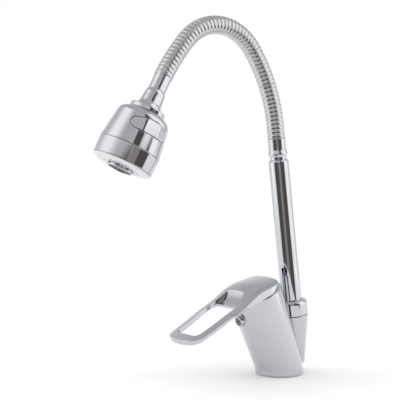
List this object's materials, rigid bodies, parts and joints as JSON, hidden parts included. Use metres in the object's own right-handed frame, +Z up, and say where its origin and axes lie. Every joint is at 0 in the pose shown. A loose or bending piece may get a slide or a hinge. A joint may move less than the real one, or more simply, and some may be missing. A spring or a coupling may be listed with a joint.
{
  "type": "gooseneck kitchen faucet",
  "caption": "Chrome single-lever kitchen faucet with an open loop handle, a bendable ribbed gooseneck and a ball-jointed two-mode spray head.",
  "frame": {"origin": "centre of the round base, on the deck", "axes": "+Z up, -Y towards the user, where the lever and the spray head point, +X to the user's right"},
  "size_m": [0.0596, 0.2378, 0.3446],
  "materials": {
    "chrome": "polished",
    "gooseneck_chrome": "satin chrome",
    "brass": "machined",
    "rubber": "matt",
    "index_plastic": "satin",
    "cartridge_plastic": "moulded",
    "ceramic": "lapped",
    "steel": "machined",
    "white_plastic": "moulded",
    "hose_rubber": "matt",
    "grey_plastic": "satin",
    "core_plastic": "moulded"
  },
  "bodies": {
    "mixer_body": {"body_casting": "chrome", "base_gasket": "rubber", "index_plug": "index_plastic", "cartridge_base": "cartridge_plastic", "port_seals": "rubber", "cartridge_shell": "cartridge_plastic", "fixed_disc": "ceramic", "cartridge_nut": "brass", "dome_ring": "chrome", "spout_collar": "chrome", "slip_washer": "white_plastic"},
    "rotor": {"cartridge_rotor": "cartridge_plastic", "stem_pin": "steel"},
    "disc_slider": {"disc_carrier": "cartridge_plastic", "moving_disc": "ceramic"},
    "lever": {"lever_stem": "steel", "handle": "chrome", "handle_set_screw": "steel"},
    "spout": {"spout_spigot": "brass", "spout_sealing_rings": "rubber", "spout_tube": "chrome", "lower_ferrule": "chrome", "gooseneck_section_1": "gooseneck_chrome", "inner_hose_1": "hose_rubber"},
    "neck_2": {"gooseneck_section_2": "gooseneck_chrome", "inner_hose_2": "hose_rubber"},
    "neck_3": {"gooseneck_section_3": "gooseneck_chrome", "inner_hose_3": "hose_rubber"},
    "neck_4": {"gooseneck_section_4": "gooseneck_chrome", "inner_hose_4": "hose_rubber"},
    "neck_5": {"gooseneck_section_5": "gooseneck_chrome", "inner_hose_5": "hose_rubber"},
    "neck_6": {"gooseneck_section_6": "gooseneck_chrome", "inner_hose_6": "hose_rubber", "upper_ferrule": "chrome", "swivel_ball": "chrome"},
    "head_swivel": {"ball_washer": "white_plastic"},
    "head": {"ball_nut": "chrome", "head_core": "core_plastic", "head_upper_shell": "chrome", "head_skirt": "chrome", "spray_plate": "grey_plastic", "spray_plate_seal": "rubber", "aerator_housing": "chrome", "aerator_insert": "core_plastic", "aerator_seal": "rubber", "button_pin": "steel"},
    "button": {"selector_button": "chrome", "diverter_flap": "white_plastic"}
  },
  "joints": [
    {"name": "lever_turn", "type": "hinge", "parent": "mixer_body", "child": "rotor", "pos_m": [0, -0.03154, 0.08216], "axis": [0, -0.3584, 0.9336], "range_deg": [-45, 45]},
    {"name": "lever_lift", "type": "hinge", "parent": "rotor", "child": "lever", "pos_m": [0, -0.02867, 0.07469], "axis": [-1, 0, 0], "range_deg": [0, 20]},
    {"name": "disc_slide", "type": "slide", "parent": "rotor", "child": "disc_slider", "axis": [0, -0.9336, -0.3584], "range_m": [0, 0.0043]},
    {"name": "spout_swivel", "type": "hinge", "parent": "mixer_body", "child": "spout", "pos_m": [0, 0.01836, 0.05654], "axis": [0, -0.1271, 0.9919], "continuous": true},
    {"name": "neck_bend_1", "type": "hinge", "parent": "spout", "child": "neck_2", "pos_m": [0, -0.01077, 0.26777], "axis": [1, 0, 0], "range_deg": [-8, 8]},
    {"name": "neck_bend_2", "type": "hinge", "parent": "neck_2", "child": "neck_3", "pos_m": [0, -0.02535, 0.30095], "axis": [1, 0, 0], "range_deg": [-8, 8]},
    {"name": "neck_bend_3", "type": "hinge", "parent": "neck_3", "child": "neck_4", "pos_m": [0, -0.04887, 0.32818], "axis": [1, 0, 0], "range_deg": [-8, 8]},
    {"name": "neck_bend_4", "type": "hinge", "parent": "neck_4", "child": "neck_5", "pos_m": [0, -0.0837, 0.33531], "axis": [1, 0, 0], "range_deg": [-8, 8]},
    {"name": "neck_bend_5", "type": "hinge", "parent": "neck_5", "child": "neck_6", "pos_m": [0, -0.11464, 0.31774], "axis": [1, 0, 0], "range_deg": [-8, 8]},
    {"name": "head_tilt", "type": "hinge", "parent": "neck_6", "child": "head_swivel", "pos_m": [0, -0.15701, 0.2518], "axis": [1, 0, 0], "range_deg": [-12, 12]},
    {"name": "head_turn", "type": "hinge", "parent": "head_swivel", "child": "head", "pos_m": [0, -0.15701, 0.2518], "axis": [0.108, 0.4311, 0.8958], "continuous": true},
    {"name": "button_rock", "type": "hinge", "parent": "head", "child": "button", "pos_m": [0.01613, -0.16603, 0.23667], "axis": [0.108, 0.4311, 0.8958], "range_deg": [-3, 3]}
  ],
  "couplings": [
    {"joint": "disc_slide", "follows": "lever_lift", "m_per_rad": 0.012}
  ]
}
